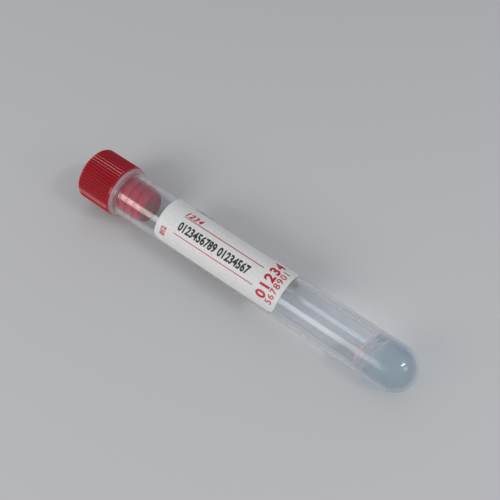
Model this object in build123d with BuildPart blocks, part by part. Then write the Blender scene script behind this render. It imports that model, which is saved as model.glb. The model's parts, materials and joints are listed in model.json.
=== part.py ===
from build123d import *

import os
from math import asin, atan2, cos, degrees, hypot, radians, sin, sqrt, tan

# Blood collection tube with a finned push-in cap, lying on its side as it comes to rest.
# Millimetres, +Z up. The cap is towards -X and the round end towards +X, and the origin is
# on the surface it lies on, below the middle of its length.
# A station is a distance along the tube's axis from the rim: the cap's head has negative
# stations, and everything from the rim to the tip has positive ones.

# Tube: a 12 x 86 mm polypropylene moulding
tube_length = 86.0
mouth_outer_radius = 6.0
end_outer_radius = 5.7
wall = 1.0
mouth_chamfer = 0.3
collar_radius = 6.9
collar_thickness = 0.55
shoulder_radius = 6.4
shoulder_thickness = 0.6
shoulder_slope = 0.6
shoulder_blend = 0.5
collar_edge_round = 0.15

# Cap: a polyethylene moulding, a ribbed head over a finned plug
head_height = 10.3
rib_count = 54
rib_tip_radius = 7.1
rib_depth = 0.28
rib_flank_angle = 46.0
rib_round = 0.08
rib_root = 0.05
head_edge_round = 0.6
head_edge_relief = 0.03
band_height = 0.45
band_radius = 7.0
band_edge_round = 0.12
cap_wall = 1.2
well_rim_round = 0.3
well_floor_round = 0.5
plug_length = 8.8
plug_radius = 4.6
plug_end_round = 1.2
fin_count = 3
first_fin_station = 1.7
fin_pitch = 2.4
fin_root_width = 0.9
fin_tip_width = 0.35
fin_clearance = 0.03

# Separator gel in the round end
gel_depth = 12.15
gel_slant_angle = 19.0
gel_high_side_angle = 52.0
gel_hollow_radius = 14.0
gel_clearance = 0.03
bubble_radius = 0.5
bubble_offset = 2.9
bubble_angle = -89.0

# Paper label
label_start = 14.65
label_length = 36.35
label_thickness = 0.12
label_glue = 0.05
label_corner_round = 2.0
label_wrap_angle = 224.5
label_lower_edge_angle = 85.0

# Where the tube lies: on two neighbouring ribs at the head's lower end, and on its round end
end_centre_station = tube_length - end_outer_radius
taper = (mouth_outer_radius - end_outer_radius) / end_centre_station
rib_centre_radius = rib_tip_radius - rib_round
rib_pitch = 360 / rib_count
cap_rest_radius = rib_centre_radius * cos(radians(rib_pitch / 2)) + rib_round
rest_span = end_centre_station + band_height
lying_tilt = atan2(cap_rest_radius, rest_span) - asin(end_outer_radius / hypot(cap_rest_radius, rest_span))

axial = Vector(cos(lying_tilt), 0, -sin(lying_tilt))
upward = Vector(sin(lying_tilt), 0, cos(lying_tilt))
sideways = Vector(0, -1, 0)
# The head's top edge is the furthest point towards -X, and the tip of the round end towards +X
head_edge_radius = rib_tip_radius + head_edge_relief
head_back = head_height * cos(lying_tilt) + (head_edge_radius - head_edge_round) * sin(lying_tilt)
head_back += head_edge_round * (1 - cos(lying_tilt))
tip_front = end_centre_station * cos(lying_tilt) + end_outer_radius
rim_height = cap_rest_radius * cos(lying_tilt) - band_height * sin(lying_tilt)
rim_centre = Vector((head_back - tip_front) / 2, 0, rim_height)
tube_axis = Axis(rim_centre, axial)
# In a section, local x is the station and local y the radius
section_plane = Plane(origin=rim_centre, x_dir=axial, z_dir=sideways)


def outer_radius(station):
    """Outside of the tapered wall."""
    return mouth_outer_radius - taper * station


def bore_radius(station):
    """Inside of the wall, which is as thick all the way down."""
    return outer_radius(station) - wall


def axis_point(station):
    """Point on the tube's axis."""
    return rim_centre + axial * station


def round_direction(degrees_from_top):
    """Unit vector square to the axis, turned from straight up towards -Y."""
    turn = radians(degrees_from_top)
    return upward * cos(turn) + sideways * sin(turn)


# Tube: collar and shoulder round the mouth, tapered wall, hemispherical closed end
with BuildPart() as tube:
    with BuildSketch(section_plane):
        with BuildLine():
            shoulder_station = collar_thickness + shoulder_thickness
            slope_end = shoulder_station + shoulder_slope
            mouth = FilletPolyline(
                (mouth_chamfer, bore_radius(mouth_chamfer)),
                (0, bore_radius(0) + mouth_chamfer),
                (0, collar_radius),
                (collar_thickness, collar_radius),
                (collar_thickness, shoulder_radius),
                (shoulder_station, shoulder_radius),
                (slope_end, outer_radius(slope_end)),
                (end_centre_station, end_outer_radius),
                radius=[0, collar_edge_round, collar_edge_round, 0, collar_edge_round, shoulder_blend],
            )
            CenterArc((end_centre_station, 0), end_outer_radius, 0, 90)
            Line((tube_length, 0), (tube_length - wall, 0))
            CenterArc((end_centre_station, 0), end_outer_radius - wall, 0, 90)
            Line((end_centre_station, bore_radius(end_centre_station)), mouth @ 0)
        make_face()
    revolve(axis=tube_axis)
tube.part.label = "tube"

# Cap: fluted head trimmed to its rounded edge, plain band at its foot, plug, fins, then the well
with BuildSketch() as rib:
    with BuildLine():
        # Local x is radial, from the centre of the rounded crest
        foot_x = rib_round - rib_depth - rib_root
        crest_x = rib_round / cos(radians(rib_flank_angle))
        foot_half_width = (crest_x - foot_x) / tan(radians(rib_flank_angle))
        FilletPolyline(
            (foot_x, -foot_half_width),
            (crest_x, 0),
            (foot_x, foot_half_width),
            radius=[0, rib_round, 0],
            close=True,
        )
    make_face()
with BuildPart() as cap:
    head_foot = Plane(origin=axis_point(-band_height), x_dir=upward, z_dir=-axial)
    with BuildSketch(head_foot):
        Circle(rib_tip_radius - rib_depth)
        with PolarLocations(rib_centre_radius, rib_count, start_angle=rib_pitch / 2):
            add(rib.sketch)
    extrude(amount=head_height - band_height)
    with BuildSketch(section_plane):
        with BuildLine():
            FilletPolyline(
                (-band_height, 0),
                (-band_height, head_edge_radius),
                (-head_height, head_edge_radius),
                (-head_height, 0),
                radius=[0, 0, head_edge_round, 0],
                close=True,
            )
        make_face()
    revolve(axis=tube_axis, mode=Mode.INTERSECT)
    with BuildSketch(section_plane):
        with BuildLine():
            FilletPolyline(
                (-band_height, 0),
                (-band_height, band_radius),
                (0, band_radius),
                (0, plug_radius),
                (plug_length, plug_radius),
                (plug_length, 0),
                radius=[0, 0, band_edge_round, 0, plug_end_round, 0],
                close=True,
            )
        make_face()
    revolve(axis=tube_axis)
    for fin in range(fin_count):
        fin_station = first_fin_station + fin * fin_pitch
        fin_radius = bore_radius(fin_station + fin_tip_width / 2) - fin_clearance
        with BuildSketch(section_plane):
            with BuildLine():
                Polyline(
                    (fin_station - fin_root_width / 2, plug_radius),
                    (fin_station - fin_tip_width / 2, fin_radius),
                    (fin_station + fin_tip_width / 2, fin_radius),
                    (fin_station + fin_root_width / 2, plug_radius),
                    (fin_station + fin_root_width / 2, plug_radius - cap_wall / 2),
                    (fin_station - fin_root_width / 2, plug_radius - cap_wall / 2),
                    close=True,
                )
            make_face()
        revolve(axis=tube_axis)
    with BuildSketch(section_plane):
        with BuildLine():
            head_well_radius = rib_tip_radius - rib_depth - cap_wall
            FilletPolyline(
                (-head_height, 0),
                (-head_height, head_well_radius),
                (-cap_wall, head_well_radius),
                (-cap_wall, plug_radius - cap_wall),
                (plug_length - cap_wall, plug_radius - cap_wall),
                (plug_length - cap_wall, 0),
                radius=[0, 0, well_floor_round, 0, well_floor_round, 0],
                close=True,
            )
        make_face()
    revolve(axis=tube_axis, mode=Mode.SUBTRACT)
    well_rim = cap.edges().sort_by_distance(axis_point(-head_height) + upward * head_well_radius)[0]
    fillet(well_rim, well_rim_round)
cap.part.label = "cap"

# Gel: fills the round end below a slanted, slightly hollow surface with a burst bubble in it
gel_surface_station = tube_length - gel_depth
gel_contact_radius = bore_radius(gel_surface_station)
hollow_rise = sqrt(gel_hollow_radius**2 - gel_contact_radius**2)
gel_lean = radians(gel_slant_angle)
gel_up = -axial * cos(gel_lean) - round_direction(gel_high_side_angle) * sin(gel_lean)
hollow_centre = axis_point(gel_surface_station) + gel_up * hollow_rise
bubble_line = hollow_centre - axis_point(gel_surface_station) - round_direction(bubble_angle) * bubble_offset
bubble_centre = hollow_centre - bubble_line.normalized() * gel_hollow_radius
with BuildPart() as gel:
    with BuildSketch(section_plane):
        with BuildLine():
            gel_top = gel_surface_station - gel_contact_radius * tan(gel_lean) - wall
            side = Line(
                (gel_top, bore_radius(gel_top) - gel_clearance),
                (end_centre_station, end_outer_radius - wall - gel_clearance),
            )
            CenterArc((end_centre_station, 0), end_outer_radius - wall - gel_clearance, 0, 90)
            Line((tube_length - wall - gel_clearance, 0), (gel_top, 0))
            Line((gel_top, 0), side @ 0)
        make_face()
    revolve(axis=tube_axis)
    with Locations(hollow_centre):
        Sphere(gel_hollow_radius, mode=Mode.SUBTRACT)
    with Locations(bubble_centre):
        Sphere(bubble_radius, mode=Mode.SUBTRACT)
gel.part.label = "gel"

# Label: paper wrapped round the taper from its lower long edge, over the top, to the back
with BuildPart() as label:
    label_end = label_start + label_length
    edge_plane = Plane(
        origin=rim_centre,
        x_dir=axial,
        z_dir=axial.cross(round_direction(label_lower_edge_angle)),
    )
    with BuildSketch(edge_plane):
        with BuildLine():
            Polyline(
                (label_start, outer_radius(label_start) + label_glue),
                (label_end, outer_radius(label_end) + label_glue),
                (label_end, outer_radius(label_end) + label_glue + label_thickness),
                (label_start, outer_radius(label_start) + label_glue + label_thickness),
                close=True,
            )
        make_face()
    revolve(axis=Axis(rim_centre, -axial), revolution_arc=label_wrap_angle)
    label_radius = outer_radius(label_start) + label_glue + label_thickness
    corner_turn = degrees(asin(label_corner_round / label_radius))
    label_upper_edge_angle = label_lower_edge_angle - label_wrap_angle
    for end_station, outward in ((label_start, -1), (label_end, 1)):
        for edge_turn, onward in ((label_lower_edge_angle, 1), (label_upper_edge_angle, -1)):
            centre_turn = edge_turn - onward * corner_turn
            corner_centre = axis_point(end_station - outward * label_corner_round)
            towards_end = axial * outward
            towards_side = round_direction(centre_turn + onward * 90)
            corner_plane = Plane(
                origin=corner_centre + round_direction(centre_turn) * label_radius,
                x_dir=towards_end,
                z_dir=towards_end.cross(towards_side),
            )
            with BuildSketch(corner_plane):
                Rectangle(2 * label_corner_round, 2 * label_corner_round, align=(Align.MIN, Align.MIN))
                Circle(label_corner_round, mode=Mode.SUBTRACT)
            extrude(amount=label_corner_round, both=True, mode=Mode.SUBTRACT)
label.part.label = "label"

os.makedirs("parts", exist_ok=True)
for piece in (tube, cap, gel, label):
    export_step(piece.part, f"parts/{piece.part.label}.step")
    box = piece.part.bounding_box()
    print(piece.part.label, "volume", round(piece.part.volume, 1), "from", box.min, "to", box.max)
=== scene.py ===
import json
import math

import bmesh
import bpy
from mathutils import Matrix, Vector


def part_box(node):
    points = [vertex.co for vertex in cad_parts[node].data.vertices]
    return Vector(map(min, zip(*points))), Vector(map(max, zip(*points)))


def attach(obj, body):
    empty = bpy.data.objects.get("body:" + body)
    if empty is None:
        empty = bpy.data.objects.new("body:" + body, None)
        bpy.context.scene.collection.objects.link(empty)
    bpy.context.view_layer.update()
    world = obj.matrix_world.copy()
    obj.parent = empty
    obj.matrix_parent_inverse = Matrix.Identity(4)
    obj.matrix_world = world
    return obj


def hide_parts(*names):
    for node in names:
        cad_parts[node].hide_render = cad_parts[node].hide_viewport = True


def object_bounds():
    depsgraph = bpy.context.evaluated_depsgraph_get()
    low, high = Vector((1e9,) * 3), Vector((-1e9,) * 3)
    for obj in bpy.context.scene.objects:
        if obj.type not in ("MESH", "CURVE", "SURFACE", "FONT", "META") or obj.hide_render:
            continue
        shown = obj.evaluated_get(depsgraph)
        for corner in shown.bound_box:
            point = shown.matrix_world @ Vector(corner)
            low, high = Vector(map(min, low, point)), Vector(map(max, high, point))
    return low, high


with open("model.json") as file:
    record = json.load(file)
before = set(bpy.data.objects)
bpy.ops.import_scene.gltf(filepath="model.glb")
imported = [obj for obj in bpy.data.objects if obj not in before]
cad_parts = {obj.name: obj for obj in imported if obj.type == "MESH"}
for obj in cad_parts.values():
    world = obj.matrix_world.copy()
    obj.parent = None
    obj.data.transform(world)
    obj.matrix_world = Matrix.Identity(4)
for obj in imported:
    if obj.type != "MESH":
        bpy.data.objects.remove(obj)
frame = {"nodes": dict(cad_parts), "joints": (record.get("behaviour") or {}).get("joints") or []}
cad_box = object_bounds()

# ---- Tube --------------------------------------------------------------------------------------
# One injection moulding in natural polypropylene, see-through with a milky haze and glossy from its
# polished mould. A flange and a sloped shoulder stiffen its mouth, and it lies on its round end.
end_radius = 0.0057
tube_length = 0.086
mouth_radius = 0.0060
wall = 0.0010
mouth_chamfer = 0.0003
collar_radius = 0.0069
collar_thickness = 0.00055
shoulder_radius = 0.0064
shoulder_thickness = 0.0006
shoulder_slope = 0.0006
shoulder_blend = 0.0005
collar_edge_round = 0.00015
steps_round = 160
merge_distance = 1e-6

# A pair of colours is where a material is cloudy and where it isn't. A pair of numbers is where a
# change of looks starts and ends: stations, radii or depths, or how far a face is turned edge-on.
clear_colours = ((0.89, 0.91, 0.93), (0.83, 0.85, 0.88))
streak_colour = (0.80, 0.82, 0.86)
streak_share = 0.3
streak_stretch = 0.12
milky_colours = ((0.86, 0.88, 0.90), (0.80, 0.82, 0.85))
dense_colours = ((0.59, 0.62, 0.65), (0.57, 0.60, 0.64))
wall_glow = (0.88, 0.89, 0.91)
wall_shade = (0.96, 0.97, 0.98)
plastic_ior = 1.49
# The collar's milk is painted lighter at its two rims as highlights, and a band between them is painted
# with the cap's red as it shows through the collar.
collar_milk_and_highlight = (0.93, 0.90, 0.95)
painted_cap_red_colour = (0.60, 0.46, 0.53)
painted_cap_red_start = (0.00006, 0.00018)
painted_cap_red_end = (0.00037, 0.00049)
collar_haze_end = (0.0004, 0.0010)
collar_haze = 0.85
edge_haze_turned = (0.25, 0.75)
edge_haze = 0.95
dense_turned = (0.72, 0.97)

# Every place is given by its station, which is the distance from the rim along the tube's axis, and
# its turn, which is the angle round the axis from straight up towards -Y.
pull = next(joint for joint in frame["joints"] if joint["name"] == "cap_pull")
axial = -Vector(pull["axis"]).normalized()
upward = Vector((-axial.z, 0, axial.x))
sideways = Vector((0, -1, 0))
tube_low, tube_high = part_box("tube")
end_centre = Vector((tube_high.x - end_radius, 0, tube_low.z + end_radius))
end_station = tube_length - end_radius
rim = end_centre - axial * end_station
taper = (mouth_radius - end_radius) / end_station


def on_tube(station, turn, radius):
    """The point at a station and a turn in radians, that far from the axis."""
    return rim + axial * station + (upward * math.cos(turn) + sideways * math.sin(turn)) * radius


def outer_radius(station):
    """Outside of the tapered wall."""
    return mouth_radius - taper * station


def rounded(corners, radii, steps=4):
    """The points of an outline, with an arc at each inner corner that has a radius."""
    points = [corners[0]]
    for before, corner, after, radius in zip(corners, corners[1:], corners[2:], radii):
        incoming = (corner - before).normalized()
        outgoing = (after - corner).normalized()
        bend = math.atan2(incoming.cross(outgoing), incoming.dot(outgoing))
        start = corner - incoming * radius * math.tan(abs(bend) / 2)
        centre = start + Vector((-incoming.y, incoming.x)) * math.copysign(radius, bend)
        for step in range(steps + 1 if radius else 1):
            points.append(centre + Matrix.Rotation(bend * step / steps, 2) @ (start - centre))
    return points + [corners[-1]]


def quarter_round(radius, steps=28):
    """The round end's section from its widest place to its tip."""
    turns = [math.pi / 2 * step / steps for step in range(steps + 1)]
    return [Vector((end_station + radius * math.sin(turn), radius * math.cos(turn))) for turn in turns]


class Flow:
    """A node socket that takes Python's operators and adds the Math nodes that they stand for."""

    def __init__(self, tree, socket=None):
        self.tree = tree
        self.socket = socket

    def node(self, kind, settings, inputs, output=0):
        """Adds a node, sets its settings, then links or sets its inputs, and wraps one output."""
        made = self.tree.nodes.new(kind)
        for name, value in settings.items():
            setattr(made, name, value)
        for name, value in inputs.items():
            if isinstance(value, Flow):
                self.tree.links.new(value.socket, made.inputs[name])
            else:
                made.inputs[name].default_value = tuple(value) if isinstance(value, Vector) else value
        return Flow(self.tree, made.outputs[output])

    def maths(self, operation, *values):
        return self.node("ShaderNodeMath", {"operation": operation}, dict(enumerate(values)))

    def vectors(self, operation, *values, output=0):
        inputs = dict(enumerate(values))
        return self.node("ShaderNodeVectorMath", {"operation": operation}, inputs, output)

    def __add__(self, other):
        return self.maths("ADD", self, other)

    def __sub__(self, other):
        return self.maths("SUBTRACT", self, other)

    def __rsub__(self, other):
        return self.maths("SUBTRACT", other, self)

    def __mul__(self, other):
        return self.maths("MULTIPLY", self, other)

    def __truediv__(self, other):
        return self.maths("DIVIDE", self, other)

    def __neg__(self):
        return self.maths("MULTIPLY", self, -1)

    def __lt__(self, other):
        return self.maths("LESS_THAN", self, other)

    __radd__ = __add__
    __rmul__ = __mul__

    def dot(self, direction):
        return self.vectors("DOT_PRODUCT", self, direction, output="Value")

    def distance(self, place):
        return self.vectors("DISTANCE", self, place, output="Value")

    def ramp(self, start, end):
        """0 up to start, 1 from end on, and smooth between them."""
        inputs = {"Value": self, "From Min": start, "From Max": end}
        return self.node("ShaderNodeMapRange", {"interpolation_type": "SMOOTHSTEP"}, inputs)

    def noise(self, scale, detail=2.0, roughness=0.5):
        inputs = {"Vector": self, "Scale": scale, "Detail": detail, "Roughness": roughness}
        return self.node("ShaderNodeTexNoise", {}, inputs)

    def scaled(self, direction, size):
        return self.node("ShaderNodeVectorMath", {"operation": "SCALE"}, {0: direction, "Scale": size})

    def on_tube(self, station, turn, radius):
        """The point at a station and a turn in radians, that far from the axis."""
        up = self.scaled(upward, self.maths("COSINE", turn))
        side = self.scaled(sideways, self.maths("SINE", turn))
        outward = self.scaled(self.vectors("ADD", up, side), radius)
        along = self.scaled(axial, station)
        return self.vectors("ADD", self.vectors("ADD", outward, along), rim)

    def mixed(self, share, colour, onto):
        """A colour laid on another colour by a share."""
        layers = {0: share}
        for socket, layer in ((6, onto), (7, colour)):
            layers[socket] = layer if isinstance(layer, Flow) else (*layer, 1)
        return self.node("ShaderNodeMix", {"data_type": "RGBA"}, layers, 2)

    def layered(self, share, shader, onto):
        """A shader laid on another shader by a share."""
        return self.node("ShaderNodeMixShader", {}, {0: share, 1: onto, 2: shader})

    def principled(self, colour, roughness, ior, transmission=0.0, specular=0.5, normal=None):
        inputs = {
            "Base Color": colour,
            "Roughness": roughness,
            "IOR": ior,
            "Transmission Weight": transmission,
            "Specular IOR Level": specular,
        }
        if normal:
            inputs["Normal"] = normal
        return self.node("ShaderNodeBsdfPrincipled", {}, inputs)

    def bump(self, height, strength, distance):
        inputs = {"Height": height, "Strength": strength, "Distance": distance}
        return self.node("ShaderNodeBump", {}, inputs)


def begin_material(name):
    """An empty material, its flow, and the place from the rim that its pattern reads."""
    material = bpy.data.materials.new(name)
    material.use_nodes = True
    material.node_tree.nodes.clear()
    flow = Flow(material.node_tree)
    place = flow.node("ShaderNodeTexCoord", {}, {}, "Object")
    return material, flow, flow.vectors("SUBTRACT", place, rim)


def end_material(flow, shader):
    output = flow.tree.nodes.new("ShaderNodeOutputMaterial")
    flow.tree.links.new(shader.socket, output.inputs["Surface"])


def lit_through(flow, shader, share, colour):
    """A shader with a share of light that comes through from the far side."""
    glow = flow.node("ShaderNodeBsdfTranslucent", {}, {"Color": (*colour, 1)})
    return flow.layered(share, glow, shader)


def pale_shadow(flow, shader, share, shade):
    """A shader that lets a share of the lamps' light straight through, in its shade."""
    clear = flow.node("ShaderNodeBsdfTransparent", {}, {"Color": (*shade, 1)})
    to_lamp = flow.node("ShaderNodeLightPath", {}, {}, "Is Shadow Ray")
    return flow.layered(to_lamp * share, clear, shader)


def milky_polypropylene():
    """Clear straight on, with fine streaks drawn along it, and milky at the collar and edge-on. The
    collar's rims have painted highlights, and the cap's red is painted on between them as it shows
    through.
    """
    material, flow, from_rim = begin_material("milky_polypropylene")
    station = from_rim.dot(axial)
    drawn = flow.node(
        "ShaderNodeCombineXYZ",
        {},
        {"X": station * streak_stretch, "Y": from_rim.dot(sideways), "Z": from_rim.dot(upward)},
    )
    streaks = drawn.noise(900.0, detail=3.0)
    clouds = from_rim.noise(220.0)
    clear = flow.mixed(streaks * streak_share, streak_colour, flow.mixed(clouds, *clear_colours))
    polish = 0.02 + clouds * 0.02
    clear_wall = flow.principled(clear, polish, plastic_ior, transmission=0.97)

    collar = 1 - station.ramp(*collar_haze_end)
    # Painted light on the collar: painted highlights on its rims, and the cap's red painted on between
    # them.
    painted_cap_red = station.ramp(*painted_cap_red_start) * (1 - station.ramp(*painted_cap_red_end))
    collar_milk_and_painted_light = flow.mixed(painted_cap_red, painted_cap_red_colour, collar_milk_and_highlight)
    milk = flow.mixed(collar, collar_milk_and_painted_light, flow.mixed(clouds, *milky_colours))
    satin = 0.14 + clouds * 0.06
    milky_wall = flow.principled(milk, satin, plastic_ior, transmission=0.40)
    dense = flow.mixed(clouds, *dense_colours)
    dense_wall = flow.principled(dense, satin, plastic_ior, transmission=0.40)
    turned = flow.node("ShaderNodeLayerWeight", {}, {"Blend": 0.5}, "Facing")
    milky_wall = flow.layered(turned.ramp(*dense_turned), dense_wall, milky_wall)
    milky_wall = lit_through(flow, milky_wall, 0.35, wall_glow)

    edge = turned.ramp(*edge_haze_turned)
    haze = flow.maths("MAXIMUM", collar * collar_haze, edge * edge_haze)
    plastic = flow.layered(haze, milky_wall, clear_wall)
    end_material(flow, pale_shadow(flow, plastic, 1.0, wall_shade))
    return material


def begin_tree(name, sockets):
    """The flow of a new Geometry Nodes tree, and its named inputs."""
    tree = bpy.data.node_groups.new(name, "GeometryNodeTree")
    for socket, kind in sockets.items():
        tree.interface.new_socket(socket, in_out="INPUT", socket_type=kind)
    tree.interface.new_socket("Mesh", in_out="OUTPUT", socket_type="NodeSocketGeometry")
    entry = tree.nodes.new("NodeGroupInput")
    return Flow(tree), {socket: Flow(tree, entry.outputs[socket]) for socket in sockets}


def end_tree(flow, geometry, material):
    """Ends a tree in plain mesh of that material."""
    plain = flow.node("GeometryNodeRealizeInstances", {}, {"Geometry": geometry})
    made = flow.node("GeometryNodeSetMaterial", {}, {"Geometry": plain, "Material": material})
    leaving = flow.tree.nodes.new("NodeGroupOutput")
    flow.tree.links.new(made.socket, leaving.inputs["Mesh"])
    return flow.tree


def in_scene(name, data):
    """A new object in the scene, at the origin."""
    made = bpy.data.objects.new(name, data)
    bpy.context.scene.collection.objects.link(made)
    return made


def run_tree(tree, mesh, values):
    """The plain mesh that a tree makes from a mesh and the values of its named inputs."""
    carrier = in_scene("carrier", mesh)
    modifier = carrier.modifiers.new("tree", "NODES")
    modifier.node_group = tree
    for item in tree.interface.items_tree:
        if item.in_out == "INPUT" and item.name in values:
            modifier[item.identifier] = values[item.name]
    made = bpy.data.meshes.new_from_object(carrier.evaluated_get(bpy.context.evaluated_depsgraph_get()))
    carrier.modifiers.remove(modifier)
    bpy.data.objects.remove(carrier)
    return made


def lathe_tree():
    """An outline's points, with stations along local x and radii along y, turned round the axis."""
    sockets = {
        "Mesh": "NodeSocketGeometry",
        "Outline Points": "NodeSocketInt",
        "Steps": "NodeSocketInt",
        "Material": "NodeSocketMaterial",
    }
    flow, given = begin_tree("turned_round_axis", sockets)
    ring = given["Steps"] + 1
    sheet = flow.node(
        "GeometryNodeMeshGrid", {}, {"Vertices X": given["Outline Points"], "Vertices Y": ring}
    )
    index = flow.node("GeometryNodeInputIndex", {}, {})
    row = flow.maths("FLOOR", (index + 0.5) / ring)
    outline = flow.node("GeometryNodeInputPosition", {}, {})
    point = flow.node(
        "GeometryNodeSampleIndex",
        {"data_type": "FLOAT_VECTOR"},
        {"Geometry": given["Mesh"], "Value": outline, "Index": row},
    )
    turn = (index - row * ring) / given["Steps"] * (2 * math.pi)
    place = flow.on_tube(point.dot(Vector((1, 0, 0))), turn, point.dot(Vector((0, 1, 0))))
    turned = flow.node("GeometryNodeSetPosition", {}, {"Geometry": sheet, "Position": place})
    closed = flow.node(
        "GeometryNodeMergeByDistance", {}, {"Geometry": turned, "Distance": merge_distance}
    )
    return end_tree(flow, closed, given["Material"])


lathe = lathe_tree()


def turned_form(outline, material):
    """A closed outline of stations and radii, turned round the tube's axis."""
    section = bpy.data.meshes.new("section")
    section.from_pydata([(station, radius, 0) for station, radius in outline], [], [])
    values = {"Outline Points": len(outline), "Steps": steps_round, "Material": material}
    return run_tree(lathe, section, values)


def smooth_form(form, name, material, sharp=math.radians(35)):
    """A closed form as a mesh, faces outwards, smooth but for its sharp edges."""
    bmesh.ops.recalc_face_normals(form, faces=form.faces)
    for face in form.faces:
        face.smooth = True
    for edge in form.edges:
        edge.smooth = edge.calc_face_angle(0) < sharp
    mesh = bpy.data.meshes.new(name)
    form.to_mesh(mesh)
    form.free()
    mesh.materials.append(material)
    return mesh


def moulded_wall(material):
    """The tube as it is moulded: chamfered mouth, collar, shoulder, tapered wall and round end."""
    bore = mouth_radius - wall
    shoulder_end = collar_thickness + shoulder_thickness
    slope_end = shoulder_end + shoulder_slope
    outside = rounded(
        [
            Vector((mouth_chamfer, bore - taper * mouth_chamfer)),
            Vector((0, bore + mouth_chamfer)),
            Vector((0, collar_radius)),
            Vector((collar_thickness, collar_radius)),
            Vector((collar_thickness, shoulder_radius)),
            Vector((shoulder_end, shoulder_radius)),
            Vector((slope_end, outer_radius(slope_end))),
            Vector((end_station, end_radius)),
        ],
        [0, collar_edge_round, collar_edge_round, 0, collar_edge_round, shoulder_blend],
    )
    inside = quarter_round(end_radius - wall)[::-1]
    outline = outside[:-1] + quarter_round(end_radius) + inside + outside[:1]
    form = bmesh.new()
    form.from_mesh(turned_form(outline, material))
    return smooth_form(form, "tube_wall", material)


tube = in_scene("tube_wall", moulded_wall(milky_polypropylene()))
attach(tube, "tube_body")
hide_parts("tube")

# ---- Gel ---------------------------------------------------------------------------------------
# A slug of milky separator gel, dispensed into the round end and spun down, so that it wets the wall
# all round. Its slanted top is slightly hollow and has a burst bubble, and another is trapped in it.
gel_clearance = 0.00003
gel_bite = 0.00002
gel_merge_distance = 2e-6
gel_surface_station = 0.07385
gel_lean = math.radians(19)
gel_high_side = math.radians(52)
gel_high = upward * math.cos(gel_high_side) + sideways * math.sin(gel_high_side)
gel_down = axial * math.cos(gel_lean) + gel_high * math.sin(gel_lean)
burst_radius = 0.0005
burst_centre = on_tube(0.07506, math.radians(-83.7), 0.00287)
burst_edge = (burst_radius, burst_radius * 1.3)
bubble_radius = 0.0008
bubble_centre = on_tube(0.07445, math.radians(-27), 0.00372)
bubble_edge = (bubble_radius * 1.02, bubble_radius * 1.06)

gel_ior = 1.41
deep_colours = ((0.54, 0.65, 0.73), (0.48, 0.59, 0.67))
deep_glow = (0.72, 0.79, 0.84)
thin_colours = ((0.80, 0.86, 0.90), (0.74, 0.81, 0.86))
skin_colours = ((0.84, 0.83, 0.87), (0.78, 0.77, 0.82))
# The top's skin is painted lighter, standing in for the light that the top surface reflects.
top_painted_light_colour, top_painted_light_share = (0.94, 0.89, 0.92), 0.6
# Painted reflection: reddish patches that stand in for the cap's red and the print reflected in the
# gel's edge.
painted_red_reflection_colour, painted_red_reflection_share = (0.96, 0.50, 0.41), 0.85
# Painted shade: the burst bubble's pit is painted dark grey.
burst_painted_shade_colour, burst_painted_shade_share = (0.30, 0.28, 0.28), 0.8
skin_glow = (0.94, 0.87, 0.89)
gel_shade = (0.88, 0.92, 0.95)
thin_depth = (0.0010, 0.0050)
top_depth = (0.0012, 0.0016)
edge_depth = (0.0003, 0.0011)
wetted_gap = (0.00015, 0.00004)
painted_red_reflection_side = (-0.0010, 0.0020)
skin_on_top = 0.95
skin_on_edge = 0.6
skin_over_bubble = 0.4


def off_axis(from_rim):
    """How far a place is from the tube's axis."""
    height = from_rim.dot(upward)
    side = from_rim.dot(sideways)
    return from_rim.maths("SQRT", height * height + side * side)


def separator_gel():
    """Pale and clear where it is thin, blue and milky lower down, with a dense skin on its top. The
    top's skin is painted lighter for the light that it reflects, with patches of painted red reflection
    on it and painted shade in the burst bubble.
    """
    material, flow, from_rim = begin_material("separator_gel")
    depth = from_rim.dot(gel_down) - gel_surface_station * math.cos(gel_lean)
    clouds = from_rim.noise(260.0, detail=3.0)
    deep_colour = flow.mixed(clouds, *deep_colours)
    deep = flow.principled(deep_colour, 0.10 + clouds * 0.06, gel_ior, transmission=0.55)
    deep = lit_through(flow, deep, 0.25, deep_glow)
    thin_colour = flow.mixed(clouds, *thin_colours)
    thin = flow.principled(thin_colour, 0.03 + clouds * 0.03, gel_ior, transmission=0.90)
    body = flow.layered(depth.ramp(*thin_depth), deep, thin)

    bore = outer_radius(gel_surface_station) - wall
    off_wall = 1 - off_axis(from_rim).ramp(*(bore - gap for gap in wetted_gap))
    on_top = off_wall * (1 - depth.ramp(*top_depth))
    # Patches of painted red reflection, on the side towards -Y.
    painted_red_reflection = from_rim.noise(420.0).ramp(0.42, 0.56) * from_rim.dot(sideways).ramp(*painted_red_reflection_side)
    # Painted shade in the burst bubble's pit.
    burst_painted_shade = 1 - from_rim.distance(burst_centre - rim).ramp(*burst_edge)
    milk = flow.mixed(clouds, *skin_colours)
    # Painted light: the top's skin painted lighter for the light that it reflects.
    milk = flow.mixed(on_top * top_painted_light_share, top_painted_light_colour, milk)
    milk = flow.mixed(painted_red_reflection * painted_red_reflection_share, painted_red_reflection_colour, milk)
    milk = flow.mixed(burst_painted_shade * burst_painted_shade_share, burst_painted_shade_colour, milk)
    skin = flow.principled(milk, 0.20 + clouds * 0.08, gel_ior, transmission=0.10)
    skin = lit_through(flow, skin, 0.55, skin_glow)

    on_edge = 1 - depth.ramp(*edge_depth)
    off_bubble = from_rim.distance(bubble_centre - rim).ramp(*bubble_edge)
    kept = off_bubble * (1 - skin_over_bubble) + skin_over_bubble
    skin_share = flow.maths("MAXIMUM", on_edge * skin_on_edge, on_top * skin_on_top) * kept
    slug = flow.layered(skin_share, skin, body)
    end_material(flow, pale_shadow(flow, slug, 0.7, gel_shade))
    return material


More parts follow.
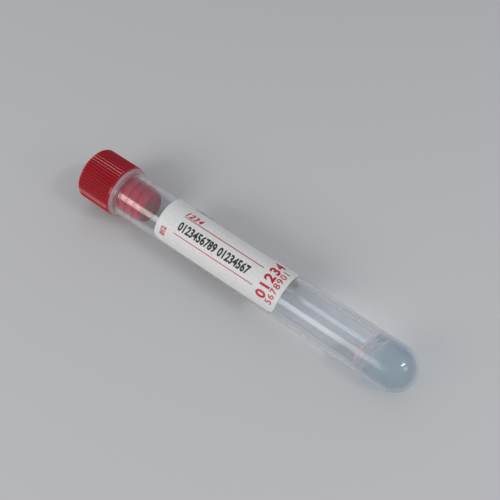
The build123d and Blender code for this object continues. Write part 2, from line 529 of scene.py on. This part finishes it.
def wetted_gel(material):
    """The gel's own form pressed that bit further, onto the wall, with a bubble of air in it."""
    form = bmesh.new()
    form.from_mesh(frame["nodes"]["gel"].data)
    bmesh.ops.remove_doubles(form, verts=form.verts, dist=gel_merge_distance)
    for vertex in form.verts:
        from_rim = vertex.co - rim
        station = from_rim.dot(axial)
        if station < end_station:
            outward = from_rim - axial * station
            gap = outer_radius(station) - wall - outward.length
        else:
            outward = vertex.co - end_centre
            gap = end_radius - wall - outward.length
        if gap < 2 * gel_clearance:
            vertex.co += outward.normalized() * (gap + gel_bite)
    mesh = smooth_form(form, "gel_fill", material)

    form = bmesh.new()
    form.from_mesh(mesh)
    there = Matrix.Translation(bubble_centre)
    bubble = bmesh.ops.create_icosphere(form, subdivisions=4, radius=bubble_radius, matrix=there)
    faces = {face for vertex in bubble["verts"] for face in vertex.link_faces}
    bmesh.ops.reverse_faces(form, faces=list(faces))
    for face in faces:
        face.smooth = True
    form.to_mesh(mesh)
    form.free()
    return mesh


gel = in_scene("gel_fill", wetted_gel(separator_gel()))
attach(gel, "tube_body")
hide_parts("gel")

# ---- Cap ---------------------------------------------------------------------------------------
# One injection moulding in red polyethylene: a ribbed head to grip, and a plug with three fins that
# seal in the bore. Its mould left it satin, and duller on the ribs' tips and down in the grooves.
fin_count = 3
first_fin_station = 0.0017
fin_pitch = 0.0024
fin_root_width = 0.0009
fin_root_radius = 0.0046
fin_tip_width = 0.00035
fin_bite = 0.00002

head_colours = ((0.45, 0.002, 0.017), (0.40, 0.001, 0.012))
# Painted shade: the grooves between the ribs are painted darker.
groove_painted_shade_colour, groove_painted_shade_share = (0.20, 0.001, 0.006), 0.8
plug_colour = (0.38, 0.003, 0.036)
ribs_start = (-0.0099, -0.0096)
ribs_end = (-0.0007, -0.0005)
plug_start = (-0.0002, 0.0002)
groove_floor = (0.0065, 0.0067)
groove_flank = (0.00684, 0.00704)
groove_bottom = (0.00685, 0.00692)
rib_tip = (0.00704, 0.00708)
groove_dulling = 0.45
tip_dulling = 0.25


def red_polyethylene():
    """Red all through, with painted shade darkening the grooves, pinker on the plug, and a fine mould
    grain.
    """
    material, flow, from_rim = begin_material("red_polyethylene")
    station = from_rim.dot(axial)
    radius = off_axis(from_rim)
    clouds = from_rim.noise(180.0)
    grain = from_rim.noise(5200.0)
    on_ribs = station.ramp(*ribs_start) * (1 - station.ramp(*ribs_end))
    # Painted shade down in the grooves, on the ribbed head only.
    groove_painted_shade = radius.ramp(*groove_floor) * (1 - radius.ramp(*groove_flank)) * on_ribs
    colour = flow.mixed(groove_painted_shade * groove_painted_shade_share, groove_painted_shade_colour, flow.mixed(clouds, *head_colours))
    colour = flow.mixed(station.ramp(*plug_start), plug_colour, colour)
    dull = radius.ramp(*rib_tip) * tip_dulling + (1 - radius.ramp(*groove_bottom)) * groove_dulling
    satin = 0.16 + clouds * 0.06 + dull * on_ribs
    etched = flow.bump(grain, strength=0.10, distance=0.00005)
    end_material(flow, flow.principled(colour, satin, ior=1.52, specular=0.34, normal=etched))
    return material


def pressed_fins(material):
    """The three fins as they are in the bore, bent onto its wall."""
    fins = bmesh.new()
    for fin in range(fin_count):
        middle = first_fin_station + fin * fin_pitch
        tip = outer_radius(middle) - wall + fin_bite
        outline = [
            (middle - fin_root_width / 2, fin_root_radius),
            (middle - fin_tip_width / 2, tip),
            (middle + fin_tip_width / 2, tip),
            (middle + fin_root_width / 2, fin_root_radius),
            (middle - fin_root_width / 2, fin_root_radius),
        ]
        fins.from_mesh(turned_form(outline, material))
    return smooth_form(fins, "plug_fins", material)


cap_red = red_polyethylene()
cap = frame["nodes"]["cap"]
cap.data.materials.clear()
cap.data.materials.append(cap_red)
fins = in_scene("plug_fins", pressed_fins(cap_red))
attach(fins, "cap_body")

# ---- Label -------------------------------------------------------------------------------------
# Coated white paper with rounded corners, glued round the taper from low on one side, over the top,
# to the back. Its inner side, seen through the wall, is cream with glue, and painted brighter than
# the paper's face, standing in for the light that comes through the paper.
label_glue = 0.00005
label_thickness = 0.00012
paper_colours = ((0.78, 0.78, 0.78), (0.67, 0.67, 0.67))
cloud_colour, cloud_share = (0.74, 0.73, 0.70), 0.3
glue_cream_and_painted_light = (1.0, 0.88, 0.76)


def label_paper():
    """White, with fine fibres in its coating, and the glue's cream on its inner side, painted bright
    for the light that comes through the paper.
    """
    material, flow, from_rim = begin_material("label_paper")
    mid_radius = mouth_radius + label_glue + label_thickness / 2
    glued = off_axis(from_rim) < mid_radius - from_rim.dot(axial) * taper
    fibres = from_rim.noise(2600.0, detail=4.0, roughness=0.6)
    clouds = from_rim.noise(300.0)
    paper = flow.mixed(fibres.ramp(0.35, 0.65), *paper_colours)
    paper = flow.mixed(clouds * cloud_share, cloud_colour, paper)
    # The inner side: the glue's cream, painted brighter to stand in for the light that comes through
    # the paper.
    colour = flow.mixed(glued, glue_cream_and_painted_light, paper)
    felted = flow.bump(fibres, strength=0.25, distance=0.00002)
    end_material(flow, flow.principled(colour, 0.42 + fibres * 0.16, ior=1.45, normal=felted))
    return material


label = frame["nodes"]["label"]
label.data.materials.clear()
label.data.materials.append(label_paper())

# ---- Print -------------------------------------------------------------------------------------
# Ink on the label, laid on by a press while the paper was flat: plain black numerals between ruled
# red lines with small slanted numerals over them, and rows of red numerals that run round the tube.
ink_height = 0.000012
print_radius = 0.0061
longest_chord = 0.0003
cut_tolerance = 1e-7
first_line_turn = -96.6
line_pitch_angle = 47.0
line_count = 4
line_start = 0.0200
line_length = 0.0238
line_width = 0.00022
caption_gap = 0.00045
caption_overhang = 0.0004
small_size = 0.0020
small_boldness = 0.046
quarter_turn = 90


def numerals(digits, size, boldness, narrowing=1.0, spacing=1.0, slant=0.0):
    """Flat numerals as a mesh, starting at the origin, with their feet on local x."""
    text = bpy.data.curves.new("numerals", "FONT")
    text.body = digits
    text.size = size
    text.offset = boldness * size
    text.space_character = spacing
    text.shear = slant
    text.resolution_u = 5
    writing = bpy.data.objects.new("numerals", text)
    flat = bpy.data.meshes.new_from_object(writing)
    flat.transform(Matrix.Diagonal((narrowing, 1, 1, 1)))
    bpy.data.objects.remove(writing)
    return flat


def ruled_lines_tree():
    """Lines of one length and width, each a pitch above the last, starting at local x = 0."""
    sockets = {
        "Mesh": "NodeSocketGeometry",
        "Count": "NodeSocketInt",
        "Pitch": "NodeSocketFloat",
        "Length": "NodeSocketFloat",
        "Width": "NodeSocketFloat",
        "Ink": "NodeSocketMaterial",
    }
    flow, given = begin_tree("ruled_lines", sockets)
    step = flow.node("ShaderNodeCombineXYZ", {}, {"Y": given["Pitch"]})
    start = flow.node("ShaderNodeCombineXYZ", {}, {"X": given["Length"] * 0.5})
    places = flow.node(
        "GeometryNodeMeshLine", {}, {"Count": given["Count"], "Offset": step, "Start Location": start}
    )
    line = flow.node(
        "GeometryNodeMeshGrid",
        {},
        {"Size X": given["Length"], "Size Y": given["Width"], "Vertices X": 2, "Vertices Y": 2},
    )
    row = flow.node("GeometryNodeInstanceOnPoints", {}, {"Points": places, "Instance": line})
    return end_tree(flow, row, given["Ink"])


def wrap_tree():
    """Flat print, with stations along local x and the way round the tube along y, laid on paper."""
    sockets = {
        "Mesh": "NodeSocketGeometry",
        "Paper Radius": "NodeSocketFloat",
        "Narrowing": "NodeSocketFloat",
        "Print Radius": "NodeSocketFloat",
        "Ink": "NodeSocketMaterial",
    }
    flow, given = begin_tree("wrap_round_tube", sockets)
    flat = flow.node("GeometryNodeInputPosition", {}, {})
    station = flat.dot(Vector((1, 0, 0)))
    turn = -flat.dot(Vector((0, 1, 0))) / given["Print Radius"]
    place = flow.on_tube(station, turn, given["Paper Radius"] - station * given["Narrowing"])
    wrapped = flow.node("GeometryNodeSetPosition", {}, {"Geometry": given["Mesh"], "Position": place})
    return end_tree(flow, wrapped, given["Ink"])


def ink(name, colour, worn_colour):
    """A thin film of ink with fine specks where it is worn."""
    material, flow, from_rim = begin_material(name)
    speckle = from_rim.noise(6000.0, detail=3.0, roughness=0.6)
    laid = flow.mixed(speckle.ramp(0.35, 0.75), worn_colour, colour)
    end_material(flow, flow.principled(laid, 0.30 + speckle * 0.20, ior=1.48))
    return material


def placed(mesh, station, turn, heading=0):
    """A flat mesh moved to a station and a turn in degrees, and turned on the paper."""
    there = Matrix.Translation((station, -math.radians(turn) * print_radius, 0))
    mesh.transform(there @ Matrix.Rotation(math.radians(heading), 4, "Z"))
    return mesh


def laid_on_label(name, flats, colour):
    """All flat meshes as one piece of print, cut fine enough round the tube to lie on the paper."""
    sheet = bmesh.new()
    for flat in flats:
        sheet.from_mesh(flat)
    reach = max(abs(vertex.co.y) for vertex in sheet.verts)
    cuts = int(reach / longest_chord)
    for cut in range(-cuts, cuts + 1):
        bmesh.ops.bisect_plane(
            sheet,
            geom=sheet.verts[:] + sheet.edges[:] + sheet.faces[:],
            dist=cut_tolerance,
            plane_co=(0, cut * longest_chord, 0),
            plane_no=(0, 1, 0),
        )
    bmesh.ops.triangulate(sheet, faces=sheet.faces)
    for face in sheet.faces:
        if face.normal.z < 0:
            face.normal_flip()
    flat_print = bpy.data.meshes.new(name)
    sheet.to_mesh(flat_print)
    sheet.free()
    values = {
        "Paper Radius": mouth_radius + label_glue + label_thickness + ink_height,
        "Narrowing": taper,
        "Print Radius": print_radius,
        "Ink": colour,
    }
    piece = in_scene(name, run_tree(wrap, flat_print, values))
    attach(piece, "tube_body")


wrap = wrap_tree()
black_ink = ink("black_ink", (0.006, 0.006, 0.007), (0.040, 0.040, 0.042))
red_ink = ink("red_ink", (0.50, 0.001, 0.012), (0.56, 0.012, 0.026))

black = numerals("0123456789 01234567", size=0.0031, boldness=0.038, narrowing=0.70, spacing=1.045)
laid_on_label("printed_numerals", [placed(black, station=0.0203, turn=32.5)], black_ink)

line_values = {
    "Count": line_count,
    "Pitch": -math.radians(line_pitch_angle) * print_radius,
    "Length": line_length,
    "Width": line_width,
    "Ink": red_ink,
}
lines = run_tree(ruled_lines_tree(), bpy.data.meshes.new("lines"), line_values)
red_flats = [placed(lines, line_start, first_line_turn)]
for line in range(line_count - 1):
    caption = numerals("1234", small_size, small_boldness, spacing=1.3, slant=0.3)
    above = first_line_turn + line * line_pitch_angle - math.degrees(caption_gap / print_radius)
    red_flats.append(placed(caption, line_start - caption_overhang, above))
small_row = numerals("012", small_size, small_boldness, narrowing=0.80)
red_flats.append(placed(small_row, station=0.0177, turn=66, heading=quarter_turn))
bold_row = numerals("01234", size=0.0036, boldness=0.036, spacing=1.24)
red_flats.append(placed(bold_row, station=0.0477, turn=60, heading=quarter_turn))
light_row = numerals("5678901", size=0.0024, boldness=0.012, spacing=1.2)
red_flats.append(placed(light_row, station=0.0498, turn=64, heading=quarter_turn))
laid_on_label("printed_red", red_flats, red_ink)

# ---- Stage -------------------------------------------------------------------------------------
# A plain pale floor that fades into the studio's own light, soft lamps, and a camera that looks down
# on the tube from its round end's side.
floor_half = 4.0
floor_fade = (0.16, 0.55)
floor_colour = (0.58, 0.58, 0.59)
studio_light = (0.44, 0.456, 0.48)
camera_azimuth = math.radians(36.66)
camera_elevation = math.radians(57.93)
camera_from_rim = Vector((0.09064, -0.06795, 0.14494))


def floor_paint():
    """Pale matt paint round the tube, which fades into the studio's own light further out."""
    material, flow, from_rim = begin_material("floor_paint")
    paint = flow.principled((*floor_colour, 1), roughness=0.8, ior=1.5)
    haze = flow.node("ShaderNodeEmission", {}, {"Color": (*studio_light, 1), "Strength": 1.0})
    away = flow.vectors("LENGTH", from_rim, output="Value").ramp(*floor_fade)
    end_material(flow, flow.layered(away, haze, paint))
    return material


floor_mesh = bpy.data.meshes.new("floor")
floor_corners = [
    (x * floor_half, y * floor_half, cad_box[0].z) for x, y in ((-1, -1), (1, -1), (1, 1), (-1, 1))
]
floor_mesh.from_pydata(floor_corners, [], [(0, 1, 2, 3)])
floor_mesh.materials.append(floor_paint())
floor = in_scene("floor", floor_mesh)

world = bpy.data.worlds.new("studio")
world.use_nodes = True
background = world.node_tree.nodes["Background"]
background.inputs["Color"].default_value = (*studio_light, 1)
background.inputs["Strength"].default_value = 1.0
bpy.context.scene.world = world


def softbox(name, turn, station, distance, size, power, colour=(1.0, 1.0, 1.0)):
    """A soft lamp at a turn in degrees and a station, facing the tube's axis from that far off."""
    lamp = bpy.data.lights.new(name, "AREA")
    lamp.shape = "RECTANGLE"
    lamp.size, lamp.size_y = size
    lamp.energy = power
    lamp.color = colour
    stand = in_scene(name, lamp)
    stand.location = on_tube(station, math.radians(turn), distance)
    aim = (on_tube(station, 0, 0) - stand.location).normalized()
    stand.rotation_mode = "QUATERNION"
    stand.rotation_quaternion = aim.to_track_quat("-Z", "Y")


warm_white = (1.0, 0.94, 0.85)
softbox("front_softbox", 58, -0.2625, distance=0.50, size=(0.245, 0.23), power=0.85, colour=warm_white)
softbox("side_softbox", 58, -0.0630, distance=0.50, size=(0.154, 0.23), power=0.34)
softbox("tip_softbox", 58, 0.0380, distance=0.50, size=(0.048, 0.23), power=0.070)
softbox("end_lamp", -12, 0.297, distance=0.342, size=(0.05, 0.11), power=0.30)
softbox("low_lamp", -8, 0.400, distance=0.239, size=(0.13, 0.13), power=0.16)

camera_data = bpy.data.cameras.new("camera")
camera_data.lens = 50
camera_data.sensor_width = 36
camera_data.clip_start = 0.01
camera = in_scene("camera", camera_data)
camera.location = rim + camera_from_rim
camera.rotation_mode = "QUATERNION"
towards_camera = Vector(
    (
        math.sin(camera_azimuth) * math.cos(camera_elevation),
        -math.cos(camera_azimuth) * math.cos(camera_elevation),
        math.sin(camera_elevation),
    )
)
camera.rotation_quaternion = (-towards_camera).to_track_quat("-Z", "Y")
bpy.context.scene.camera = camera
bpy.context.scene.view_settings.view_transform = "Standard"
